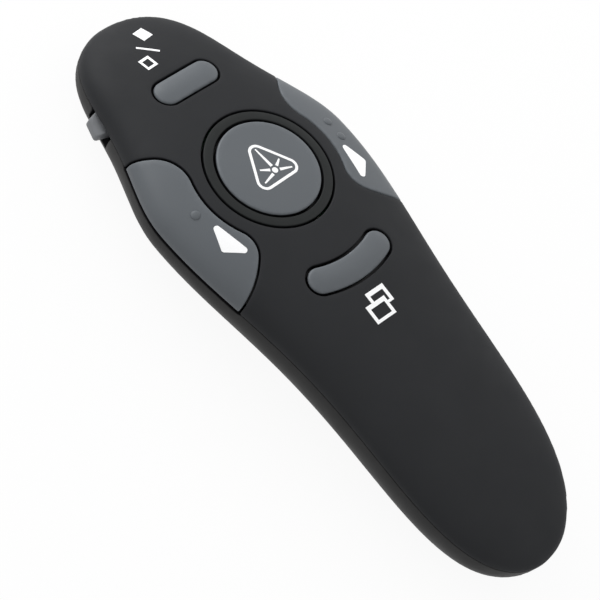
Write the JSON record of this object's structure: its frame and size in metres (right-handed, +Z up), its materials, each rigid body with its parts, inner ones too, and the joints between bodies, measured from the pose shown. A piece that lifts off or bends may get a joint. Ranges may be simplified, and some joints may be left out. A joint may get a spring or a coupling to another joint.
{
  "type": "wireless presentation clicker",
  "caption": "Handheld wireless presentation clicker with a round laser key, page keys, an on/off slider, a battery cover and a stowed USB receiver.",
  "frame": {"origin": "under the middle of the body, on the surface that it rests on", "axes": "+Y from the tail to the nose, +X to the right of the user, +Z up through the keys"},
  "size_m": [0.0486, 0.13, 0.0216],
  "materials": {
    "shell": "soft-touch charcoal",
    "ring": "satin dark grey",
    "key": "satin blue-grey",
    "knob": "satin grey",
    "tray": "smooth dark grey",
    "latch": "smooth light grey",
    "ivory": "moulded ivory",
    "black": "black",
    "board": "green solder mask",
    "can": "plain",
    "brass": "turned",
    "lens": "clear",
    "cell": "printed sleeve",
    "contact": "nickel plated",
    "grip": "charcoal",
    "plug": "plated",
    "tongue": "black",
    "screw": "plated"
  },
  "bodies": {
    "housing": {"top_shell": "shell", "back_shell": "shell", "button_ring": "ring", "battery_tray": "tray", "key_switches": "black", "radio_chip": "black", "laser_bezel": "black", "main_board": "board", "laser_driver": "board", "crystal_can": "can", "power_switch": "can", "laser_barrel": "brass", "laser_diode": "brass", "laser_lens": "lens", "positive_contact": "contact", "negative_spring": "contact", "tail_screw": "screw", "board_screws": "screw"},
    "laser_key": {"laser_button": "key", "laser_plunger": "ivory"},
    "blank_screen_key": {"blank_screen_button": "key", "blank_screen_plunger": "ivory"},
    "window_key": {"window_button": "key", "window_plunger": "ivory"},
    "page_back_key": {"page_back_button": "key", "page_back_plunger": "ivory"},
    "page_forward_key": {"page_forward_button": "key", "page_forward_plunger": "ivory"},
    "power_slider": {"power_knob": "knob", "power_lever": "ivory"},
    "cover": {"battery_cover": "shell"},
    "latch": {"cover_latch": "latch"},
    "cell": {"aaa_cell": "cell", "cell_cap": "contact"},
    "receiver": {"receiver_grip": "grip", "receiver_plug": "plug", "receiver_tongue": "tongue"}
  },
  "joints": [
    {"name": "laser_press", "type": "slide", "parent": "housing", "child": "laser_key", "axis": [0, 0, -1], "range_m": [0, 0.0003], "stiffness_N_per_m": 800, "springref_m": -0.0005},
    {"name": "blank_screen_press", "type": "slide", "parent": "housing", "child": "blank_screen_key", "axis": [0, 0, -1], "range_m": [0, 0.0003], "stiffness_N_per_m": 800, "springref_m": -0.0005},
    {"name": "window_press", "type": "slide", "parent": "housing", "child": "window_key", "axis": [0, 0, -1], "range_m": [0, 0.0003], "stiffness_N_per_m": 800, "springref_m": -0.0005},
    {"name": "page_back_press", "type": "slide", "parent": "housing", "child": "page_back_key", "axis": [0, 0, -1], "range_m": [0, 0.0003], "stiffness_N_per_m": 800, "springref_m": -0.0005},
    {"name": "page_forward_press", "type": "slide", "parent": "housing", "child": "page_forward_key", "axis": [0, 0, -1], "range_m": [0, 0.0003], "stiffness_N_per_m": 800, "springref_m": -0.0005},
    {"name": "power_slide", "type": "slide", "parent": "housing", "child": "power_slider", "axis": [-0.2732, -0.962, 0], "range_m": [0, 0.0018]},
    {"name": "cover_lift", "type": "slide", "parent": "housing", "child": "cover", "axis": [0, 0, -1], "range_m": [0, 0.045]},
    {"name": "latch_push", "type": "slide", "parent": "cover", "child": "latch", "axis": [0, -1, 0], "range_m": [0, 0.0008], "stiffness_N_per_m": 400, "springref_m": -0.0003},
    {"name": "cell_lift", "type": "slide", "parent": "housing", "child": "cell", "axis": [0, 0.0401, -0.9992], "range_m": [0, 0.0203]},
    {"name": "receiver_lift", "type": "slide", "parent": "housing", "child": "receiver", "axis": [0, 0.0401, -0.9992], "range_m": [0, 0.0293]}
  ],
  "couplings": [
    {"joint": "cell_lift", "follows": "cover_lift", "ratio": 0.45},
    {"joint": "receiver_lift", "follows": "cover_lift", "ratio": 0.65}
  ]
}
